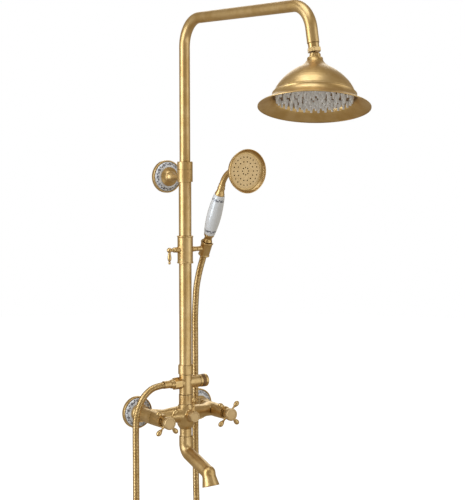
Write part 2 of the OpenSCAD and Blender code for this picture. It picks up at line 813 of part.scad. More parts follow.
// Nylon shell between the ball and the rain head's socket
module ball_seat() {
    color(nylon) at_ball() difference() {
        sphere(r = seat_r);
        sphere(r = ball_r + run_gap);
        translate([0, 0, 3.2]) cylinder(r = 12, h = 12);
        translate([0, 0, -17]) cylinder(r = 12, h = 12);
    }
}

module ball_nut() {
    flutes = 18;
    color(brass) at_head() difference() {
        union() {
            translate([0, 0, ball_nut_up - 1.6]) cylinder(r1 = ball_nut_r, r2 = 8.4, h = 1.6);
            translate([0, 0, -1 + groove]) cylinder(r = ball_nut_r, h = ball_nut_up - 0.9);
            translate([0, 0, -8.4]) cylinder(r = 9, h = 9);
        }
        sphere(r = socket_r);
        translate([0, 0, -10]) cylinder(r = socket_r - 0.05, h = 7);
        cylinder(r = 5.5, h = 12);
        for (i = [0:flutes - 1]) rotate([0, 0, i * 360 / flutes]) translate([ball_nut_r + 0.35, 0, 0.6])
            cylinder(r = 0.8, h = 4.4);
    }
}

module head_washer() {
    color(dark_rubber) at_head() translate([0, 0, -10.4]) pipe(8.2, 4, 1.9);
}

// The rain head's outline from its neck to its lip, from the outside, measured up from the lip
function bell_outline() = let (r = bell_d / 2, h = bell_h) concat(
    curve([14, h - 3], [14.6, h - 8.5], [19.5, h - 13.5], [27, h - 19], 8),
    curve([27, h - 19], [r - 54, h - 28.5], [r - 34.5, h - 47], [r - 28.8, 28], 9),
    [[r - 28.4, 26], [r - 26.2, 25.4], [r - 25, 24], [r - 25, 21.6]],
    curve([r - 24.4, 19], [r - 22, 12], [r - 12, 6.4], [r - 2.4, 2.6], 8),
    [[r - 0.6, 1.8], [r, 1.2]]);

module rain_head_bell() {
    skin = bell_outline();
    inside = beside(skin, bell_wall);
    dome_start = 5;
    color(brass) at_head() translate([0, 0, -bell_h]) rotate_extrude() polygon(concat(
        [[9 + seat_gap, bell_h - 1], [13.4, bell_h - 1], [14, bell_h - 1.6]], skin, [[bell_d / 2, 0]],
        [[bell_d / 2 - 1.6, 0]], reversed([for (i = [dome_start:len(inside) - 2]) inside[i]]),
        [[4, bell_h - 19], [4, bell_h - 10.5], [9 + seat_gap, bell_h - 10.5]]));
}

// The places of the nozzles, ring by ring
module each_nozzle() {
    for (ring = [0:nozzle_rings - 1]) let (n = first_ring_nozzles + ring * ring_step_nozzles)
        for (i = [0:n - 1]) rotate([0, 0, (i + 0.5 * (ring % 2)) * 360 / n])
            translate([14 + 13 * ring, 0, 0]) children();
}

module spray_plate() {
    color(brass) at_head() translate([0, 0, plate_z - bell_h]) difference() {
        cylinder(r = bell_d / 2 - 25 - bell_wall - 2 * seat_gap, h = 2);
        translate([0, 0, -1]) each_nozzle() cylinder(r = 3.6, h = 4);
    }
}

module spray_nozzles() {
    color(silicone) at_head() translate([0, 0, plate_z - bell_h]) difference() {
        union() {
            translate([0, 0, 2 + seat_gap]) cylinder(r = bell_d / 2 - 31.5, h = 1.6);
            each_nozzle() cylinder(r = 3.4, h = 2.5);
            each_nozzle() translate([0, 0, -nozzle_l]) cylinder(r1 = 1.75, r2 = 3.4, h = nozzle_l);
        }
        each_nozzle() translate([0, 0, -nozzle_l - 1]) cylinder(r = 0.7, h = nozzle_l + 6);
    }
}

// ---- slider, clamp and cradle ----

module slider_bush() {
    half = slider_h / 2;
    color(nylon) on_riser(slider_height - half) difference() {
        union() {
            translate([0, 0, 0.1]) cylinder(r = bush_r + 0.9, h = 1.4);
            translate([0, 0, 0.1]) cylinder(r = bush_r, h = slider_h - 2.2);
        }
        translate([0, 0, -1]) cylinder(r = lower_r + run_gap, h = slider_h);
    }
}

module slider_body() {
    half = slider_h / 2;
    lip = 2.4;
    color(brass) difference() {
        union() {
            on_riser(slider_height - half) cylinder(r = slider_r, h = slider_h);
            for (z = [-half, half - lip]) on_riser(slider_height + z) cylinder(r = slider_r + 0.8, h = lip);
            leftward([-12, -riser_out, slider_height]) cylinder(r1 = 7, r2 = 5.4, h = slider_r - 4);
            rightward([12, -riser_out, slider_height]) cylinder(r1 = 6.4, r2 = 5, h = slider_r - 1);
        }
        on_riser(slider_height - half - 1) cylinder(r = bush_r + run_gap, h = slider_h - 0.8);
        on_riser(slider_height - half - 1) cylinder(r = bush_r + 1, h = 2.7);
        on_riser(slider_height) cylinder(r = lower_r + free_gap, h = slider_h);
        leftward([-12, -riser_out, slider_height]) cylinder(r = 3 + run_gap, h = 30);
        rightward([12, -riser_out, slider_height]) cylinder(r = 3 + run_gap, h = 30);
    }
}

// Clamp screw with its ball head and the spindle-shaped lever that hangs from it
module clamp_lever() {
    boss_end = 12 + slider_r - 4 + free_gap;
    pivot = slider_r + 22;
    lever = concat([[0, 0], [2.6, 0]], curve([2.6, 5], [2.4, 9], [4.6, 13], [3.9, 18], 6),
        curve([3.9, 18], [3.4, 22], [1.9, 22], [1.8, 24], 4),
        curve([1.8, 24], [3.6, 25], [3, 29.5], [0, 29.5], 5));
    color(brass) {
        leftward([-bush_r - 0.3, -riser_out, slider_height]) cylinder(r = 3, h = pivot - bush_r - 1);
        leftward([-boss_end, -riser_out, slider_height]) rotate_extrude()
            polygon([[0, 0], [5, 0], [5.4, 0.6], [5.4, 3], [4.6, 3.6], [4.8, 4.4], [4.2, 5.6], [3.2, 7],
                [3, pivot - boss_end], [0, pivot - boss_end]]);
        translate([-pivot, -riser_out, slider_height]) {
            sphere(r = 5.4);
            rotate([180, 0, 0]) rotate_extrude() polygon(lever);
        }
    }
}

// The leaning cup that holds the hand shower, and the pin it tilts on
module cradle() {
    boss_end = 12 + slider_r - 1 + free_gap;
    h = cup_h / 2;
    cup = [[nut_low_r + free_gap, -h], [cup_r - 0.4, -h], [cup_r - 0.4, -h + 2], [cup_r - 1.4, -h + 2.8],
        [cup_r - 0.6, h - 4.2], [cup_r + 0.6, h - 3.4], [cup_r + 0.6, h - 0.8], [cup_r, h],
        [nut_high_r + free_gap, h]];
    middle_r = (nut_low_r + nut_high_r) / 2 + free_gap;
    slot_w = hose_d + 2 * free_gap;
    color(brass) difference() {
        union() {
            on_grip() rotate_extrude() polygon(cup);
            rightward([boss_end, -riser_out, slider_height])
                cylinder(r1 = 4.8, r2 = 5.6, h = cradle_x - boss_end - 10);
            rightward([slider_r - 0.5, -riser_out, slider_height])
                cylinder(r = 3, h = cradle_x - slider_r - 11);
        }
        on_grip() cylinder(r1 = middle_r, r2 = nut_high_r + free_gap, h = h);
        on_grip() mirror([0, 0, 1]) cylinder(r1 = middle_r, r2 = nut_low_r + free_gap, h = h);
        on_grip() translate([0, -slot_w / 2, -h - 1]) cube([cup_r + 3, slot_w, cup_h + 2]);
    }
}

// ---- hand shower ----

module hose_cone_nut() {
    h = cup_h / 2;
    color(brass) on_grip() difference() {
        translate([0, 0, -h + 2]) cylinder(r1 = nut_low_r + 0.08, r2 = nut_high_r, h = cup_h - 2);
        translate([0, 0, -h]) cylinder(r = hose_d / 2 + free_gap, h = 6);
        translate([0, 0, -h]) cylinder(r = 5, h = cup_h);
        translate([0, 0, 2]) cylinder(r = 7 + seat_gap, h = cup_h);
    }
}

module handset_ferrule() {
    s = ferrule_start;
    e = s + ferrule_l;
    vase = concat([[4, s - 12], [7, s - 12], [7, s], [9.4, s], [9.8, s + 0.8]],
        curve([9.8, s + 1.6], [9, s + 5], [7.4, s + 6], [8.2, s + 10], 6),
        curve([8.2, s + 10], [9, s + 13], [10.4, s + 13], [10.8, s + 15.4], 4),
        [[10.8, e], [core_r + run_gap, e], [core_r + run_gap, s + core_seat], [4, s + core_seat]]);
    color(brass) on_grip() rotate_extrude() polygon(vase);
}

module handset_core() {
    start = ferrule_start + core_seat + seat_gap;
    color(brass) on_grip(start)
        pipe(core_r, core_r - core_wall, neck_start + core_socket - seat_gap - start);
}

module ceramic_grip() {
    s = grip_start;
    e = grip_end;
    r = grip_d / 2;
    skin = concat([[11, s], [11.5, s + 0.8]],
        curve([11.5, s + 1.6], [13.6, s + 14], [r, s + 28], [r, s + 44], 8),
        curve([r, s + 44], [r, s + 62], [12.4, e - 10], [11.4, e - 1.4], 8), [[11, e - 0.4], [10, e]]);
    color(ceramic) on_grip() rotate_extrude() polygon(concat([[core_r + 1, s]], skin, [[core_r + 1, e]]));
}

// Upper ferrule and the bent neck that carries the hand shower's head
module handset_neck() {
    s = neck_start;
    e = bend_start;
    turn = 90 - grip_lean;
    ferrule = concat([[0, s], [10, s], [10.2, s + 1.2], [9.8, s + 3]],
        curve([9.4, s + 3.6], [8.6, s + 6], [7.6, s + 9], [7.4, s + 13], 5),
        [[8, s + 13.6], [8, s + 15.4], [7.2, s + 16], [6.9, e], [0, e]]);
    color(brass) difference() {
        union() {
            on_grip() rotate_extrude() polygon(ferrule);
            on_grip(e) neck_path(neck_r, turn, 0);
        }
        on_grip(s - 1) cylinder(r = core_r + run_gap, h = core_socket + 1);
        on_grip(s) cylinder(r = core_r - core_wall, h = e - s + 0.01);
        on_grip(e) neck_path(core_r - core_wall, turn, 1);
    }
}

module neck_path(r, turn, over) {
    elbow(neck_bend_r, turn, r);
    after_elbow(neck_bend_r, turn) {
        bead(r);
        cylinder(r = r, h = neck_straight + over);
    }
}

// The hand shower's head, with +Z along its spray and zero at the neck's end
module at_rose() {
    on_grip(bend_start) after_elbow(neck_bend_r, 90 - grip_lean)
        translate([0, 0, neck_straight]) children();
}

module handset_shell() {
    r = rose_d / 2;
    f = face_d / 2;
    back = curve([8.4, -5], [13, 0], [30, 0.5], [r - 6, 10.5], 9);
    rim = curve([r - 6, 10.5], [r - 3, 13.6], [r - 1.4, 19], [r - 0.3, rose_depth - 1.4], 5);
    bowl = curve([r - 1.6, rose_depth - 0.6], [r - 3, 19.5], [f + 3.5, 16.6], [f + 0.4, 16.4], 5);
    cavity = curve([f + 0.1, 12.6], [30, 6], [18, 3.4], [5, 2.4], 6);
    color(brass) at_rose() rotate_extrude() polygon(concat(
        [[neck_r + run_gap, -8], [7.8, -8], [8.4, -7.4]], back, rim,
        [[r, rose_depth - 0.8], [r - 0.3, rose_depth], [r - 1, rose_depth]], bowl,
        [[f + seat_gap, 16.4]], cavity, [[5, 0.1], [neck_r + run_gap, 0.1]]));
}

module handset_face() {
    rings = [[28, 22], [18.8, 14], [7.3, 8]];
    color(pale_brass) at_rose() difference() {
        translate([0, 0, face_out]) cylinder(r = face_d / 2, h = face_t);
        for (ring = rings) for (i = [0:ring[1] - 1]) rotate([0, 0, i * 360 / ring[1]])
            translate([ring[0], 0, face_out - 1]) cylinder(r = 1.3, h = face_t + 2);
    }
}

// ---- hose ----

module hose_outlet_nut() {
    color(brass) leftward([-13.4, -riser_out, tee_height]) difference() {
        union() {
            intersection() {
                hex(22, 16.6);
                cylinder(r1 = 12, r2 = 13.6, h = 3);
            }
            intersection() {
                translate([0, 0, 2]) hex(22, 14.6);
                cylinder(r1 = 23, r2 = 11, h = 24);
            }
            translate([0, 0, 16]) cylinder(r1 = 10.6, r2 = 8.8, h = 8);
        }
        translate([0, 0, -1]) cylinder(r = 9 + seat_gap, h = 14.8);
        translate([0, 0, -1]) cylinder(r = 8 + seat_gap, h = 30);
    }
}

// The smooth sleeve that grips the hose's end and turns in the nut
module hose_sleeve() {
    color(brass) leftward([-25.5, -riser_out, tee_height]) difference() {
        union() {
            cylinder(r = 8, h = 28.5);
            cylinder(r = 8.9, h = 1.5);
        }
        translate([0, 0, -1]) cylinder(r = 5, h = 32);
    }
}

function unit(v) = v / norm(v);
function heading(p, i) = unit(p[min(i + 1, len(p) - 1)] - p[max(i - 1, 0)]);

// A closed tube swept from one point of a route to another; the route never runs along Y
module swept_tube(p, first, last, r) {
    n = hose_sides;
    rings = [for (i = [first:last]) let (t = heading(p, i), u = unit(cross(t, [0, 1, 0])), v = cross(u, t))
        for (k = [0:n - 1]) p[i] + r * (cos(360 * k / n) * u + sin(360 * k / n) * v)];
    end = (last - first) * n;
    polyhedron(rings, concat([[for (k = [0:n - 1]) k]], [[for (k = [n - 1:-1:0]) end + k]],
        [for (i = [0:last - first - 1]) for (k = [0:n - 1]) let (a = i * n + k, b = i * n + (k + 1) % n)
            each [[a, a + n, b + n], [a, b + n, b]]]));
}

// The hose in four stretches, which each give way to one of the hand shower's motions
module hose_stretch(first, last) {
    color(brass) swept_tube(hose_route, first, last, hose_d / 2);
}
module hose_end() { hose_stretch(0, 3); }
module hose_upper() { hose_stretch(3, 6); }
module hose_middle() { hose_stretch(6, 12); }
module hose_lower() { hose_stretch(12, len(hose_route) - 1); }

inlet_unions();
pipe_seals();
union_nuts();
wall_dishes();
ceramic_rings();
inner_dishes();
mixer_body();
valve_cartridges();
valve_bonnets();
hot_spindle();
cold_spindle();
hot_cross_handle();
cold_cross_handle();
hot_cap();
cold_cap();
bath_diverter_knob();
bath_diverter_lever();
lower_collar();
tee_body();
shower_diverter_knob();
knurled_ring();
riser_nut();
lower_tube();
spout_collar();
spout();
spout_seals();
bracket_plate();
bracket_stem();
riser_collar();
lock_ring();
lock_screw();
top_bush();
guide_bush();
bush_clip();
upper_tube();
arm_adapter();
ball_connector();
ball_seat();
ball_nut();
head_washer();
rain_head_bell();
spray_plate();
spray_nozzles();
slider_bush();
slider_body();
clamp_lever();
cradle();
hose_cone_nut();
handset_ferrule();
handset_core();
ceramic_grip();
handset_neck();
handset_shell();
handset_face();
hose_outlet_nut();
hose_sleeve();
hose_end();
hose_upper();
hose_middle();
hose_lower();
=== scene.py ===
import math

import bpy
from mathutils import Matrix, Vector


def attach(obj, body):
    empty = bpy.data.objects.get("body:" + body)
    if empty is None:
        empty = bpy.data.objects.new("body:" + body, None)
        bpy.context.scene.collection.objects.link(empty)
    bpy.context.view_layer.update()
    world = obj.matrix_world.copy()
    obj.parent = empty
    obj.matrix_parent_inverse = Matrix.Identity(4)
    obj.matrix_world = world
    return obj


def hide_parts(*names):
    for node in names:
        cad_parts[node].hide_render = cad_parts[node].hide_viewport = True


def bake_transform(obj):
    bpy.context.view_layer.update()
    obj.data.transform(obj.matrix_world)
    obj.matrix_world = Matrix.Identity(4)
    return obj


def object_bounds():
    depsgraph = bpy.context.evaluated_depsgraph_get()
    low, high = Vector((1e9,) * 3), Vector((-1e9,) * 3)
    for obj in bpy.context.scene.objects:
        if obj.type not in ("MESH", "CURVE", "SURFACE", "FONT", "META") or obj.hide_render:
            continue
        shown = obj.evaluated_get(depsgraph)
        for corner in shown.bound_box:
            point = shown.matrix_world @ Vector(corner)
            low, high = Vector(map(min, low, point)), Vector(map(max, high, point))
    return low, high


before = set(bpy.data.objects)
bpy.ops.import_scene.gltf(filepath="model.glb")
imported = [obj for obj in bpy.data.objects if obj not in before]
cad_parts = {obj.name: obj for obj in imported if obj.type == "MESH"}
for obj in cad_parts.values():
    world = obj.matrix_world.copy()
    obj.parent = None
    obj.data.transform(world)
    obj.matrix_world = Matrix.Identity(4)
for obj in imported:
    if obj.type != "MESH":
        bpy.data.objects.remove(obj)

cad_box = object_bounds()
bpy.ops.object.select_all(action="DESELECT")

MM = 0.001

# Places that the pieces share, in millimetres as in the column's own drawing
RISER_OUT = 76
BRACKET_Z = 493
VALVE_X = 75
SLIDER_Z = 345
SLIDER_H = 57
GRIP_AT = (50, -RISER_OUT, SLIDER_Z)
GRIP_LEAN = math.radians(25)


def mm(*numbers):
    """A point given in millimetres, in metres."""
    return Vector(numbers) * MM


# ---- camera, light and floor ----

CAMERA_TURN = math.radians(-34)
CAMERA_AWAY = 2.8
CAMERA_HEIGHT = 0.6
VIEW_MIDDLE = Vector((0.115, -0.08, 0.338))
VIEW_HEIGHT = 1.05
SENSOR = 36


def towards_camera(turn=0.0):
    """The level direction from the column to the camera, or one turned from it to the right."""
    a = CAMERA_TURN + turn
    return Vector((math.sin(a), -math.cos(a), 0))


def make_camera():
    data = bpy.data.cameras.new("camera")
    data.sensor_width = SENSOR
    data.lens = SENSOR * CAMERA_AWAY / VIEW_HEIGHT
    camera = bpy.data.objects.new("camera", data)
    bpy.context.scene.collection.objects.link(camera)
    place = VIEW_MIDDLE + CAMERA_AWAY * towards_camera()
    place.z = CAMERA_HEIGHT
    camera.location = place
    camera.rotation_euler = (VIEW_MIDDLE - place).to_track_quat("-Z", "Y").to_euler()
    bpy.context.scene.camera = camera


COOL = (0.84, 0.92, 1.0)
# Name, degrees round from the camera, metres away and up, width and height in metres, watts
SOFTBOXES = [
    ("left_softbox", -60, 1.8, 0.6, 1.0, 2.2, 29),
    ("right_softbox", 66, 1.7, 0.5, 1.2, 2.2, 9),
    ("top_softbox", -20, 0.6, 2.1, 1.2, 1.2, 12),
    ("low_fill", 30, 2.2, -0.5, 1.4, 0.5, 6),
    ("back_softbox", 176, 2.0, 1.3, 1.4, 1.4, 12),
]


def softbox(name, turn, away, height, width, tall, watts):
    """A soft, cool area light that stands turned from the camera's side and faces the column."""
    data = bpy.data.lights.new(name, "AREA")
    data.shape = "RECTANGLE"
    data.size = width
    data.size_y = tall
    data.energy = watts
    data.color = COOL
    light = bpy.data.objects.new(name, data)
    bpy.context.scene.collection.objects.link(light)
    light.location = VIEW_MIDDLE + away * towards_camera(math.radians(turn))
    light.location.z = height
    light.rotation_euler = (VIEW_MIDDLE - light.location).to_track_quat("-Z", "Y").to_euler()


def make_lights():
    for row in SOFTBOXES:
        softbox(*row)


ROOM_SEEN = (1, 1, 1, 1)
ROOM_MIRRORED = (1, 0.87, 0.66, 1)
MIRRORED_STRENGTH = 0.4


def make_world():
    """A white room for the eye and a dimmer, warmer one that lights the brass and is mirrored."""
    world = bpy.data.worlds.new("studio")
    world.use_nodes = True
    tree = world.node_tree
    tree.nodes.clear()

    def background(colour, strength):
        made = tree.nodes.new("ShaderNodeBackground")
        made.inputs["Color"].default_value = colour
        made.inputs["Strength"].default_value = strength
        return made

    out = tree.nodes.new("ShaderNodeOutputWorld")
    seen = background(ROOM_SEEN, 1.0)
    mirrored = background(ROOM_MIRRORED, MIRRORED_STRENGTH)
    path = tree.nodes.new("ShaderNodeLightPath")
    mix = tree.nodes.new("ShaderNodeMixShader")
    tree.links.new(path.outputs["Is Camera Ray"], mix.inputs["Fac"])
    tree.links.new(mirrored.outputs[0], mix.inputs[1])
    tree.links.new(seen.outputs[0], mix.inputs[2])
    tree.links.new(mix.outputs[0], out.inputs["Surface"])
    bpy.context.scene.world = world
    bpy.context.scene.view_settings.view_transform = "Standard"


# ---- materials ----


class Finish:
    """A material and a short way to add nodes to it."""

    def __init__(self, name, **shader):
        self.material = bpy.data.materials.new(name)
        self.material.use_nodes = True
        self.tree = self.material.node_tree
        self.shader = self.tree.nodes["Principled BSDF"]
        for socket, value in shader.items():
            self.shader.inputs[socket.replace("_", " ")].default_value = value
        self.place = self.node("ShaderNodeTexCoord").outputs["Object"]

    def put(self, socket, value):
        """Joins a node's output to a socket, or sets the socket to a number or colour."""
        if isinstance(value, bpy.types.NodeSocket):
            self.tree.links.new(value, socket)
        else:
            socket.default_value = value

    def node(self, kind, inputs=None, **settings):
        made = self.tree.nodes.new(kind)
        for key, value in settings.items():
            setattr(made, key, value)
        for key, value in (inputs or {}).items():
            self.put(made.inputs[key], value)
        return made

    def calc(self, operation, a, b=0.0, c=0.0):
        """One step of arithmetic on the values, by the operation's own name."""
        return self.node("ShaderNodeMath", {0: a, 1: b, 2: c}, operation=operation).outputs[0]

    def fit(self, value, low, high, to_low=0.0, to_high=1.0):
        """value scaled so that low..high becomes to_low..to_high, and kept in it."""
        sockets = {"Value": value, 1: low, 2: high, 3: to_low, 4: to_high}
        made = self.node("ShaderNodeMapRange", sockets, interpolation_type="SMOOTHSTEP")
        return made.outputs[0]

    def noise(self, scale, detail=3.0, stretch=(1, 1, 1), rough=0.55):
        where = self.node("ShaderNodeMapping", {"Vector": self.place, "Scale": stretch})
        sockets = {
            "Vector": where.outputs[0], "Scale": scale, "Detail": detail, "Roughness": rough}
        return self.node("ShaderNodeTexNoise", sockets).outputs["Fac"]

    def blend(self, share, a, b):
        mix = self.node("ShaderNodeMix", data_type="RGBA")
        self.put(mix.inputs[0], share)
        self.put(mix.inputs[6], a)
        self.put(mix.inputs[7], b)
        return mix.outputs[2]

    def colour(self, value):
        self.put(self.shader.inputs["Base Color"], value)

    def roughness(self, value):
        self.put(self.shader.inputs["Roughness"], value)

    def bump(self, height, depth, rounding=0.0):
        """A relief of that depth in metres; rounding softens the look of sharp edges."""
        relief = self.node("ShaderNodeBump", {"Height": height, "Strength": 1.0, "Distance": depth})
        if rounding:
            edge = self.node("ShaderNodeBevel", {"Radius": rounding}, samples=4)
            self.put(relief.inputs["Normal"], edge.outputs[0])
        self.put(self.shader.inputs["Normal"], relief.outputs[0])


BRASS = (0.57, 0.38, 0.155, 1)
BRASS_LIGHT = (0.67, 0.48, 0.235, 1)
BRASS_DARK = (0.30, 0.165, 0.045, 1)
# the dark brown painted as shade into the brass's corners and the hose's grooves
PAINTED_SHADE_BROWN = (0.10, 0.05, 0.014, 1)


def brass(name, light, mid, smooth, matt, stretch=(1, 1, 1), grooves=3.0, rounding=0.5):
    """Brushed antique brass: cloudy colour, brushing along the stretched axis, and painted shade
    that darkens its corners.
    """
    finish = Finish(name, Metallic=1.0)
    cloud = finish.noise(38, 4)
    brushing = finish.noise(1500, 3, stretch)
    tint = finish.blend(finish.fit(cloud, 0.32, 0.68), mid, light)
    tint = finish.blend(finish.fit(brushing, 0.3, 0.72, 0.0, 0.14), tint, BRASS_DARK)
    # painted shade: ambient occlusion darkens the colour towards the dark brown in corners, creases
    # and grooves
    corner = finish.node("ShaderNodeAmbientOcclusion", {"Distance": grooves * MM}, samples=4)
    shade = finish.fit(corner.outputs["AO"], 0.25, 0.85, 0.75, 0.0)
    finish.colour(finish.blend(shade, tint, PAINTED_SHADE_BROWN))
    finish.roughness(finish.fit(finish.noise(420, 3, stretch), 0.3, 0.7, smooth, matt))
    finish.bump(brushing, 0.012 * MM, rounding * MM)
    return finish.material


def plain(name, colour, other, rough, scale=60, depth=0.01, **shader):
    """A quiet finish with a little cloudiness and grain."""
    finish = Finish(name, **shader)
    cloud = finish.noise(scale, 3)
    finish.colour(finish.blend(finish.fit(cloud, 0.3, 0.7), colour, other))
    finish.roughness(finish.fit(cloud, 0.3, 0.7, rough, rough + 0.08))
    finish.bump(finish.noise(1800, 2), depth * MM)
    return finish.material


GLAZE = (0.64, 0.66, 0.70, 1)
NAVY = (0.006, 0.008, 0.035, 1)
WASH = (0.09, 0.10, 0.19, 1)


def flower_band(finish, white, angle, across, repeats, length):
    """Paints one band of flowers, leaves and a vine over a colour.

    angle runs round the band, across from -1 to 1 over its width, and length is a repeat's
    length in half widths.
    """
    drift = finish.calc("MULTIPLY_ADD", finish.noise(160, 2), 0.5, -0.25)
    turns = finish.calc("MULTIPLY", angle, repeats / math.tau)
    line = finish.calc("ADD", across, drift)

    def cell(shift):
        part = finish.calc("FRACT", finish.calc("ADD", turns, shift))
        return finish.calc("MULTIPLY", finish.calc("SUBTRACT", part, 0.5), length)

    def petals(along, up, size, count, ragged):
        rise = finish.calc("SUBTRACT", line, up)
        reach = finish.calc("SQRT", finish.calc(
            "ADD", finish.calc("POWER", finish.calc("ABSOLUTE", along), 2),
            finish.calc("POWER", finish.calc("ABSOLUTE", rise), 2)))
        turn = finish.calc("MULTIPLY", finish.calc("ARCTAN2", rise, along), count)
        edge = finish.calc("MULTIPLY_ADD", finish.calc("COSINE", turn), ragged, size)
        return finish.fit(finish.calc("SUBTRACT", edge, reach), -0.03, 0.05)

    flower = petals(cell(0.0), -0.1, 0.6, 5, 0.22)
    eye = petals(cell(0.0), -0.1, 0.18, 5, 0.0)
    bud = petals(cell(0.36), 0.4, 0.32, 3, 0.12)
    leaf = petals(cell(0.62), -0.34, 0.38, 2, 0.2)
    swing = finish.calc("SINE", finish.calc("MULTIPLY", angle, repeats * 2))
    wave = finish.calc("MULTIPLY", swing, 0.46)
    vine = finish.fit(finish.calc("ABSOLUTE", finish.calc("SUBTRACT", line, wave)), 0.2, 0.1)
    inside = finish.fit(finish.calc("ABSOLUTE", across), 1.0, 0.9)
    sprigs = finish.calc("MAXIMUM", bud, leaf)
    dark = finish.calc("MAXIMUM", finish.calc("SUBTRACT", flower, eye), sprigs)
    thick = finish.fit(finish.noise(230, 2), 0.34, 0.5, 0.6, 1.0)
    washed = finish.calc("MULTIPLY", finish.calc("MULTIPLY", vine, inside), 0.9)
    tint = finish.blend(washed, white, WASH)
    painted = finish.calc("MULTIPLY", finish.calc("MULTIPLY", dark, inside), thick)
    return finish.blend(painted, tint, NAVY)


def glazed(name):
    finish = Finish(name, Coat_Weight=1.0, Coat_Roughness=0.04, Specular_IOR_Level=0.6)
    finish.roughness(finish.fit(finish.noise(90, 2), 0.3, 0.7, 0.12, 0.2))
    finish.bump(finish.noise(55, 2), 0.05 * MM)
    return finish


def flange_ceramic(band_r=26.4, band_half=4.0, repeats=11):
    """White glaze with a ring of flowers round each of the three flanges."""
    finish = glazed("flange_ceramic")
    split = finish.node("ShaderNodeSeparateXYZ", {0: finish.place})
    x, z = split.outputs["X"], split.outputs["Z"]
    upper = finish.calc("GREATER_THAN", z, BRACKET_Z * MM / 2)
    lower_x = finish.calc("SUBTRACT", finish.calc("ABSOLUTE", x), VALVE_X * MM)
    x = finish.calc("ADD", finish.calc("MULTIPLY", x, upper), finish.calc(
        "MULTIPLY", lower_x, finish.calc("SUBTRACT", 1.0, upper)))
    z = finish.calc("SUBTRACT", z, finish.calc("MULTIPLY", upper, BRACKET_Z * MM))
    reach = finish.calc("SQRT", finish.calc(
        "ADD", finish.calc("MULTIPLY", x, x), finish.calc("MULTIPLY", z, z)))
    across = finish.calc("DIVIDE", finish.calc("SUBTRACT", reach, band_r * MM), band_half * MM)
    angle = finish.calc("ARCTAN2", z, x)
    length = math.tau * band_r / repeats / band_half
    finish.colour(flower_band(finish, GLAZE, angle, across, repeats, length))
    return finish.material


def grip_ceramic(start=34.5, end=125.5, inset=9.5, band_half=4.2, repeats=6, girth=25):
    """White glaze with a band of flowers at each end of the grip."""
    finish = glazed("grip_ceramic")
    frame_at = finish.node("ShaderNodeMapping", {
        "Vector": finish.place, "Location": mm(*GRIP_AT), "Rotation": (GRIP_LEAN, 0, 0)},
        vector_type="TEXTURE")
    split = finish.node("ShaderNodeSeparateXYZ", {0: frame_at.outputs[0]})
    angle = finish.calc("ARCTAN2", split.outputs["Y"], split.outputs["X"])
    middle = (start + end) / 2
    from_middle = finish.calc("ABSOLUTE", finish.calc("SUBTRACT", split.outputs["Z"], middle * MM))
    from_band = finish.calc("SUBTRACT", from_middle, (end - middle - inset) * MM)
    across = finish.calc("DIVIDE", from_band, band_half * MM)
    length = math.pi * girth / repeats / band_half
    finish.colour(flower_band(finish, GLAZE, angle, across, repeats, length))
    return finish.material


def hose_metal():
    """Polished brass hose with painted shade in its grooves; the groove attribute is 1 at the bottom
    of its grooves.
    """
    finish = Finish("hose_metal", Metallic=1.0)
    groove = finish.node("ShaderNodeAttribute", attribute_name="groove").outputs["Fac"]
    tint = finish.blend(finish.fit(finish.noise(60, 2), 0.3, 0.7), BRASS, BRASS_LIGHT)
    # painted shade: the colour darkens to the dark brown towards the bottom of the grooves
    finish.colour(finish.blend(finish.fit(groove, 0.35, 1.0), tint, PAINTED_SHADE_BROWN))
    finish.roughness(finish.fit(groove, 0.0, 1.0, 0.2, 0.5))
    finish.bump(finish.noise(1300, 2), 0.008 * MM)
    return finish.material


def silicone():
    finish = Finish("nozzle_silicone", Subsurface_Weight=0.3, Subsurface_Scale=0.003,
                    Transmission_Weight=0.2, IOR=1.41)
    finish.shader.inputs["Subsurface Radius"].default_value = (1, 0.95, 0.9)
    finish.colour(finish.blend(finish.noise(300, 2), (0.84, 0.82, 0.80, 1), (0.91, 0.90, 0.89, 1)))
    finish.roughness(finish.fit(finish.noise(500, 2), 0.3, 0.7, 0.28, 0.42))
    finish.bump(finish.noise(1500, 2), 0.01 * MM)
    return finish.material


def make_finishes():
    upward, outward = (1, 1, 0.02), (1, 0.02, 1)
    return {
        "upright": brass("brushed_upright", BRASS_LIGHT, BRASS, 0.36, 0.45, upward),
        "outward": brass("brushed_outward", BRASS_LIGHT, BRASS, 0.32, 0.42, outward),
        "cast": brass("cast_brass", BRASS_LIGHT, BRASS, 0.33, 0.43),
        "turned": brass("turned_brass", BRASS_LIGHT, BRASS, 0.26, 0.36),
        "pale": brass("satin_pale_brass", (0.66, 0.49, 0.27, 1), (0.60, 0.43, 0.22, 1), 0.48, 0.56),
        # dark brass, which on the spray plate is painted shade in the gaps between the nozzles
        "dark": brass("dark_brass", (0.30, 0.19, 0.10, 1), (0.22, 0.13, 0.065, 1), 0.4, 0.55),
        "flange": flange_ceramic(),
        "grip": grip_ceramic(),
        "hose": hose_metal(),
        "silicone": silicone(),
        "nylon": plain("white_nylon", (0.78, 0.77, 0.73, 1), (0.7, 0.69, 0.65, 1), 0.4),
        "rubber": plain("seal_rubber", (0.02, 0.02, 0.02, 1), (0.035, 0.034, 0.033, 1), 0.6),
        "steel": plain("steel", (0.55, 0.55, 0.56, 1), (0.45, 0.45, 0.46, 1), 0.3, Metallic=1.0),
    }


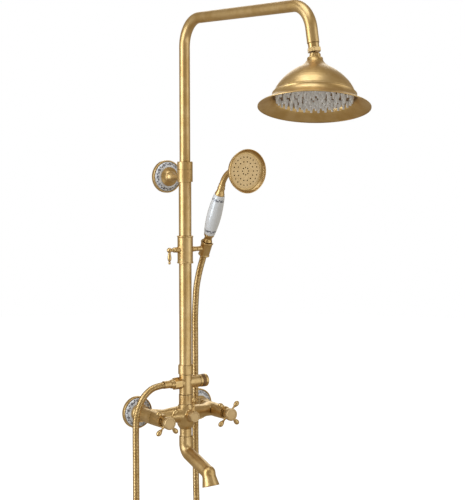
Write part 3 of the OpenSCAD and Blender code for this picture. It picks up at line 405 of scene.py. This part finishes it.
# What the drawn pieces wear; the castings and the hose take their finish where they are made
WEARS = {
    "upright": ["lower_tube", "upper_tube", "riser_collar", "lock_ring", "riser_nut",
                "lower_collar", "spout_collar", "hose_sleeve"],
    "outward": ["wall_dishes", "bracket_stem", "valve_bonnets", "inner_dishes"],
    "cast": ["rain_head_bell", "handset_shell", "handset_neck"],
    "turned": ["union_nuts", "hot_cross_handle", "cold_cross_handle", "bath_diverter_lever",
               "inlet_unions", "valve_cartridges", "hot_spindle", "cold_spindle",
               "shower_diverter_knob", "arm_adapter", "ball_connector", "ball_nut", "clamp_lever",
               "hose_cone_nut", "handset_ferrule", "handset_core", "hose_outlet_nut"],
    "pale": ["hot_cap", "cold_cap", "bath_diverter_knob", "handset_face"],
    # the spray plate wears the dark brass as painted shade in the gaps between the nozzles
    "dark": ["knurled_ring", "spray_plate"],
    "flange": ["ceramic_rings"],
    "grip": ["ceramic_grip"],
    "silicone": ["spray_nozzles"],
    "nylon": ["top_bush", "guide_bush", "ball_seat", "slider_bush"],
    "rubber": ["pipe_seals", "spout_seals", "head_washer"],
    "steel": ["bracket_plate", "bush_clip", "lock_screw"],
}


def wear(piece, material):
    piece.data.materials.clear()
    piece.data.materials.append(material)


# ---- castings ----

END_KEPT = 2.2  # how far from a machined end nothing is smoothed
CREASE = math.radians(38)
OUT, UP, ACROSS = (0, -1, 0), (0, 0, 1), (1, 0, 0)


def bar(foot, head, foot_r, head_r=None, sides=48):
    """Adds a round bar or cone between two points, all in millimetres."""
    run = mm(*head) - mm(*foot)
    bpy.ops.object.select_all(action="DESELECT")
    bpy.ops.mesh.primitive_cone_add(
        vertices=sides, radius1=foot_r * MM, radius2=(head_r or foot_r) * MM, depth=run.length,
        location=(mm(*foot) + mm(*head)) / 2, rotation=run.to_track_quat("Z", "Y").to_euler())
    return bpy.context.object


def ball(middle, radius):
    bpy.ops.object.select_all(action="DESELECT")
    bpy.ops.mesh.primitive_uv_sphere_add(
        segments=48, ring_count=24, radius=radius * MM, location=mm(*middle))
    return bpy.context.object


def welded_copy(node_name):
    """A loose copy of a drawn piece with its doubled points merged."""
    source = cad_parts[node_name]
    piece = bpy.data.objects.new(node_name + "_cast", source.data.copy())
    bpy.context.scene.collection.objects.link(piece)
    take(piece)
    bpy.ops.object.mode_set(mode="EDIT")
    bpy.ops.mesh.select_all(action="SELECT")
    bpy.ops.mesh.remove_doubles(threshold=0.002 * MM)
    bpy.ops.object.mode_set(mode="OBJECT")
    return piece


def take(*pieces):
    """Selects these pieces and nothing else, with the first one active."""
    bpy.ops.object.select_all(action="DESELECT")
    for piece in pieces:
        piece.select_set(True)
    bpy.context.view_layer.objects.active = pieces[0]


def apply(piece, kind, **settings):
    """Adds a modifier with these settings and applies it."""
    modifier = piece.modifiers.new(kind.lower(), kind)
    for key, value in settings.items():
        setattr(modifier, key, value)
    take(piece)
    bpy.ops.object.modifier_apply(modifier=modifier.name)


def join(pieces):
    """Makes one object of the pieces, at the origin and unturned."""
    take(*pieces)
    if len(pieces) > 1:
        bpy.ops.object.join()
    piece = bpy.context.object
    bpy.ops.object.transform_apply(location=True, rotation=True, scale=True)
    return piece


def cast(node_name, material, body="root", swellings=(), bores=(), ends=(), grain=0.8, rounds=16):
    """The soft form of a casting.

    The drawn shape and its swellings run together, the corners between them are smoothed away,
    the machined ends (a point and a direction each) stay flat, and the bores are cut through.
    """
    piece = join([welded_copy(node_name), *swellings])
    apply(piece, "REMESH", mode="VOXEL", voxel_size=grain * MM, use_smooth_shade=True)
    soft = []
    planes = [(mm(*point), Vector(way).normalized()) for point, way in ends]
    for vertex in piece.data.vertices:
        from_ends = [abs((vertex.co - point).dot(way)) for point, way in planes]
        if min(from_ends, default=1) > END_KEPT * MM:
            soft.append(vertex.index)
    group = piece.vertex_groups.new(name="soft")
    group.add(soft, 1.0, "REPLACE")
    apply(piece, "SMOOTH", factor=0.5, iterations=rounds, vertex_group=group.name)
    for bore in bores:
        apply(piece, "BOOLEAN", operation="DIFFERENCE", solver="MANIFOLD", object=bore)
        bpy.data.objects.remove(bore)
    piece.vertex_groups.clear()
    piece.name = node_name + "_cast"
    piece.data.name = piece.name
    take(piece)
    bpy.ops.object.shade_smooth_by_angle(angle=CREASE)
    wear(piece, material)
    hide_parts(node_name)
    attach(piece, body)
    return piece


def cast_mixer(material):
    """Two arms swell out of a round middle into the barrels; the middle rises to a neck."""
    centre = (0, -RISER_OUT)
    neck_bore_r, collar_seat_r, barrel_bore_r, cartridge_r = 8, 9.1, 7, 10
    swellings = [bar((*centre, -5), (*centre, 21.9), 21.5, 14.2),
                 bar((*centre, -24), (*centre, -5), 17, 21.5)]
    for side in (-1, 1):
        swellings.append(bar((0, -RISER_OUT, 1), (side * 42, -67.5, 0), 19.5, 14.5))
        swellings.append(bar((side * 44, -68, 0), (side * 73, -56, 0), 12.6, 16))
    bores = [bar((*centre, -40), (*centre, 45), neck_bore_r),
             bar((0, -70, 0), (0, -110, 0), neck_bore_r),
             bar((*centre, -40), (*centre, -16.5), collar_seat_r)]
    for x in (-VALVE_X, VALVE_X):
        bores.append(bar((x, -20, 0), (x, -80, 0), barrel_bore_r))
        bores.append(bar((x, -52, 0), (x, -80, 0), cartridge_r))
    ends = [((0, -34.1, 0), OUT), ((0, -77, 0), OUT), ((0, -101.5, 0), OUT), ((0, 0, 22), UP),
            ((0, 0, -29.5), UP)]
    cast("mixer_body", material, swellings=swellings, bores=bores, ends=ends, rounds=40)


def cast_spout(material):
    """The second bend gets a soft crest on its upper side.

    This casting stays on the root, though the drawn spout turns with the body bath_spout: it
    doesn't follow its joint.
    """
    corner, crest = (0, -162.8, -106.2), (0, -163.7, -105.3)
    tube_r, bore_r = 14, 10.8
    mouth, mouth_way = (0, -172.2, -131.9), (0, -0.342, -0.94)
    swellings = [ball(crest, 14.1), bar((0, -150, -102), corner, tube_r),
                 bar(corner, (0, -165.3, -113.1), 14.2)]
    bores = [ball(corner, bore_r), bar((0, -146, -100.7), corner, bore_r),
             bar(corner, (0, -166, -115), bore_r)]
    ends = [((0, 0, -46.3), UP), (mouth, mouth_way)]
    cast("spout", material, swellings=swellings, bores=bores, ends=ends, rounds=36)


def cast_pieces(finishes):
    """The five castings, which stand in for the drawn nodes of the same names."""
    cast_mixer(finishes["cast"])
    cast_spout(finishes["cast"])
    cast("tee_body", finishes["upright"], grain=0.7, rounds=14, ends=[
        ((0, 0, 42.3), UP), ((0, 0, 84.5), UP), ((31, 0, 0), ACROSS), ((-13.2, 0, 0), ACROSS)])
    half = SLIDER_H / 2
    cast("slider_body", finishes["upright"], body="slider", grain=0.6, rounds=14, ends=[
        ((0, 0, SLIDER_Z - half), UP), ((0, 0, SLIDER_Z + half), UP), ((-24, 0, 0), ACROSS),
        ((27, 0, 0), ACROSS)])
    cast("cradle", finishes["cast"], body="cradle_cup", grain=0.5, rounds=8)


# ---- hose ----

HOSE_ROUTE = [
    (50, -70, 333), (50, -64, 320), (49, -58, 305), (48, -52, 287), (46, -47, 262),
    (45, -45, 235), (44, -44, 200), (44, -44, 160), (44, -44, 115), (44, -44, 70),
    (44, -44, 25), (44, -44, -20), (44, -44, -60), (44, -45, -110), (44, -46, -160),
    (44, -48, -210), (44, -50, -260), (44, -52, -310), (44, -54, -350), (43, -56, -385),
    (37, -58, -422), (20, -61, -456), (-7, -64, -478), (-38, -67, -486), (-69, -70, -478),
    (-96, -72, -456), (-113, -74, -422), (-119, -75, -385), (-120, -76, -340),
    (-120, -76, -285), (-120, -76, -230), (-120, -76, -175), (-120, -76, -120),
    (-120, -76, -70), (-120, -76, -25), (-119, -76, 2), (-113, -76, 26), (-101, -76, 47),
    (-81, -76, 62), (-54, -76, 67)]
HOSE_D = 14
RIDGE_PITCH = 3.1
GROOVE_DEPTH = 1.1
HOSE_SIDES = 24
CURVE_STEPS = 12
RIDGE = [(0.0, 1.0), (0.14, 0.35), (0.5, 0.0), (0.86, 0.35)]  # where a ring lies, how deep


def route_curve():
    """The route as one smooth curve: for each of its points, the curve from it to the next."""
    points = [mm(*p) for p in HOSE_ROUTE]
    runs = [(b - a).length for a, b in zip(points, points[1:])]
    slopes = []
    for i in range(len(points)):
        before = (points[i] - points[i - 1]) / runs[i - 1] if i else None
        after = (points[i + 1] - points[i]) / runs[i] if i < len(runs) else None
        if before and after:
            share = runs[i - 1] / (runs[i - 1] + runs[i])
            slopes.append(before.lerp(after, share))
        else:
            slopes.append(before or after)
    spans = []
    for i, run in enumerate(runs):
        span = []
        for step in range(CURVE_STEPS):
            t = step / CURVE_STEPS
            span.append((2 * t**3 - 3 * t**2 + 1) * points[i]
                        + (3 * t**2 - 2 * t**3) * points[i + 1]
                        + run * (t**3 - 2 * t**2 + t) * slopes[i]
                        + run * (t**3 - t**2) * slopes[i + 1])
        spans.append(span)
    return spans, points


def along(line, distance, start=0.0):
    """The point at a distance along a line of points."""
    for a, b in zip(line, line[1:]):
        run = (b - a).length
        if start + run >= distance:
            return a.lerp(b, (distance - start) / run)
        start += run
    return line[-1].copy()


def hose_stretch(name, first, last, finish):
    """One stretch of ridged hose along a part of the route."""
    spans, points = route_curve()
    line = [p for span in spans[first:last] for p in span] + [points[last]]
    length = sum((b - a).length for a, b in zip(line, line[1:]))
    ridges = round(length / (RIDGE_PITCH * MM))
    pitch = length / ridges
    verts, depths = [], []
    steps = [(i + at, deep) for i in range(ridges) for at, deep in RIDGE] + [(ridges, 1.0)]
    eps = 0.4 * MM
    for place, deep in steps:
        s = place * pitch
        middle = along(line, s)
        ahead = along(line, min(s + eps, length)) - along(line, max(s - eps, 0))
        ahead.normalize()
        side = ahead.cross(Vector((0, 1, 0))).normalized()
        up = side.cross(ahead)
        r = (HOSE_D / 2 - GROOVE_DEPTH * deep) * MM
        for k in range(HOSE_SIDES):
            a = math.tau * k / HOSE_SIDES
            verts.append(middle + r * (math.cos(a) * side + math.sin(a) * up))
            depths.append(deep)
    faces = []
    for i in range(len(steps) - 1):
        for k in range(HOSE_SIDES):
            a, b = i * HOSE_SIDES + k, i * HOSE_SIDES + (k + 1) % HOSE_SIDES
            faces.append((a, b, b + HOSE_SIDES, a + HOSE_SIDES))
    faces.append(tuple(reversed(range(HOSE_SIDES))))
    faces.append(tuple(range(len(verts) - HOSE_SIDES, len(verts))))
    mesh = bpy.data.meshes.new(name + "_ridged")
    mesh.from_pydata(verts, [], faces)
    mesh.shade_smooth()
    mesh.attributes.new("groove", "FLOAT", "POINT").data.foreach_set("value", depths)
    piece = bpy.data.objects.new(mesh.name, mesh)
    bpy.context.scene.collection.objects.link(piece)
    wear(piece, finish)
    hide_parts(name)
    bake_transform(piece)
    return piece, line, length


def make_hose(finish):
    """The hose in its four stretches. The topmost is short."""
    places = [mm(*p) for p in HOSE_ROUTE]
    top, _, _ = hose_stretch(
        "hose_end", 0, 3, finish)
    at_tee = places[-1]
    above_tee = mm(44, -44, 100)
    fittings = [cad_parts["hose_sleeve"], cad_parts["hose_outlet_nut"]]
    stretches = [
        ("hose_upper", 3, 6, "slider", "cradle_cup", places[6], places[3], [top]),
        ("hose_middle", 6, 12, "slider_glide", "slider", above_tee, places[6], []),
        ("hose_lower", 12, 39, "root", "slider_glide", at_tee, at_tee + mm(123, 0, -33), fittings)]
    for name, first, last, body_a, body_b, start, end, others in stretches:
        piece, line, length = hose_stretch(name, first, last, finish)


FLOOR_BELOW = 0.16  # room for the hose when the slider is at its lowest


def make_floor():
    bpy.ops.mesh.primitive_circle_add(
        vertices=96, radius=6, fill_type="NGON", location=(0, 0, cad_box[0].z - FLOOR_BELOW))
    floor = bpy.context.object
    floor.name = "floor"
    finish = Finish("studio_floor", Roughness=0.9)
    finish.colour((0.2, 0.2, 0.2, 1))
    finish.shader.inputs["Emission Color"].default_value = (1, 1, 1, 1)
    finish.shader.inputs["Emission Strength"].default_value = 1.0
    wear(floor, finish.material)
    floor.visible_glossy = False
    floor.visible_diffuse = False


make_camera()
finishes = make_finishes()
make_hose(finishes["hose"])
cast_pieces(finishes)
make_lights()
make_world()
make_floor()
for finish_name, names in WEARS.items():
    for node_name in names:
        wear(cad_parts[node_name], finishes[finish_name])
